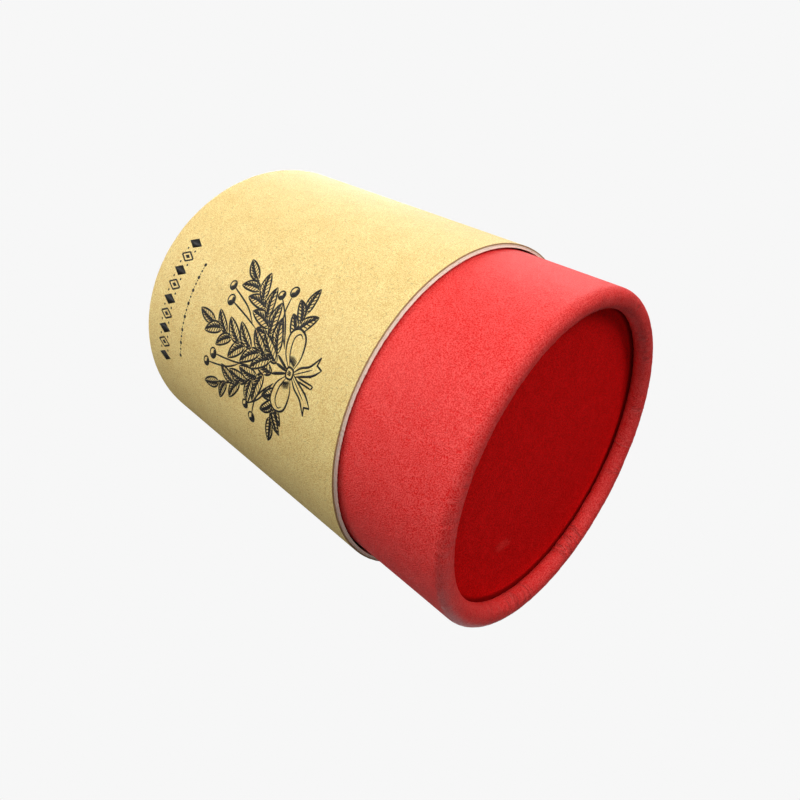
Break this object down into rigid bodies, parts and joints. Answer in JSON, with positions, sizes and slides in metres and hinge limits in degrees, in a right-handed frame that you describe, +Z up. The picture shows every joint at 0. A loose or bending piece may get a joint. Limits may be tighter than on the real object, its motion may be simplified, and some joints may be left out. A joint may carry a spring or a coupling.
{
  "type": "cylindrical gift tube box",
  "caption": "Two-piece paper tube box for small gifts: a long kraft lid slides straight up off a red base, each closed by a disc set behind a rolled rim.",
  "frame": {"origin": "on the tube's axis, in the plane that the base's rolled rim stands on", "axes": "+Z up the axis, from the base's red end to the lid's closed end; -Y is the side that carries the printed design"},
  "size_m": [0.084, 0.084, 0.1105],
  "materials": {
    "kraft_paper": "matte, uncoated",
    "red_paper": "matte, uncoated",
    "tube_board": "raw board",
    "lining_paper": "matte, uncoated"
  },
  "bodies": {
    "base": {"base_outer_wrap": "red_paper", "base_outer_board_ply": "tube_board", "base_inner_board_ply": "tube_board", "base_inner_liner": "lining_paper", "base_disc_facing": "red_paper", "base_disc_board": "tube_board", "base_disc_lining": "lining_paper"},
    "lid": {"lid_outer_wrap": "kraft_paper", "lid_outer_board_ply": "tube_board", "lid_inner_board_ply": "tube_board", "lid_inner_liner": "lining_paper", "lid_disc_facing": "kraft_paper", "lid_disc_board": "tube_board", "lid_disc_lining": "lining_paper"}
  },
  "joints": [
    {"name": "lid_lift", "type": "slide", "parent": "base", "child": "lid", "axis": [0, 0, 1], "range_m": [0, 0.1]}
  ]
}
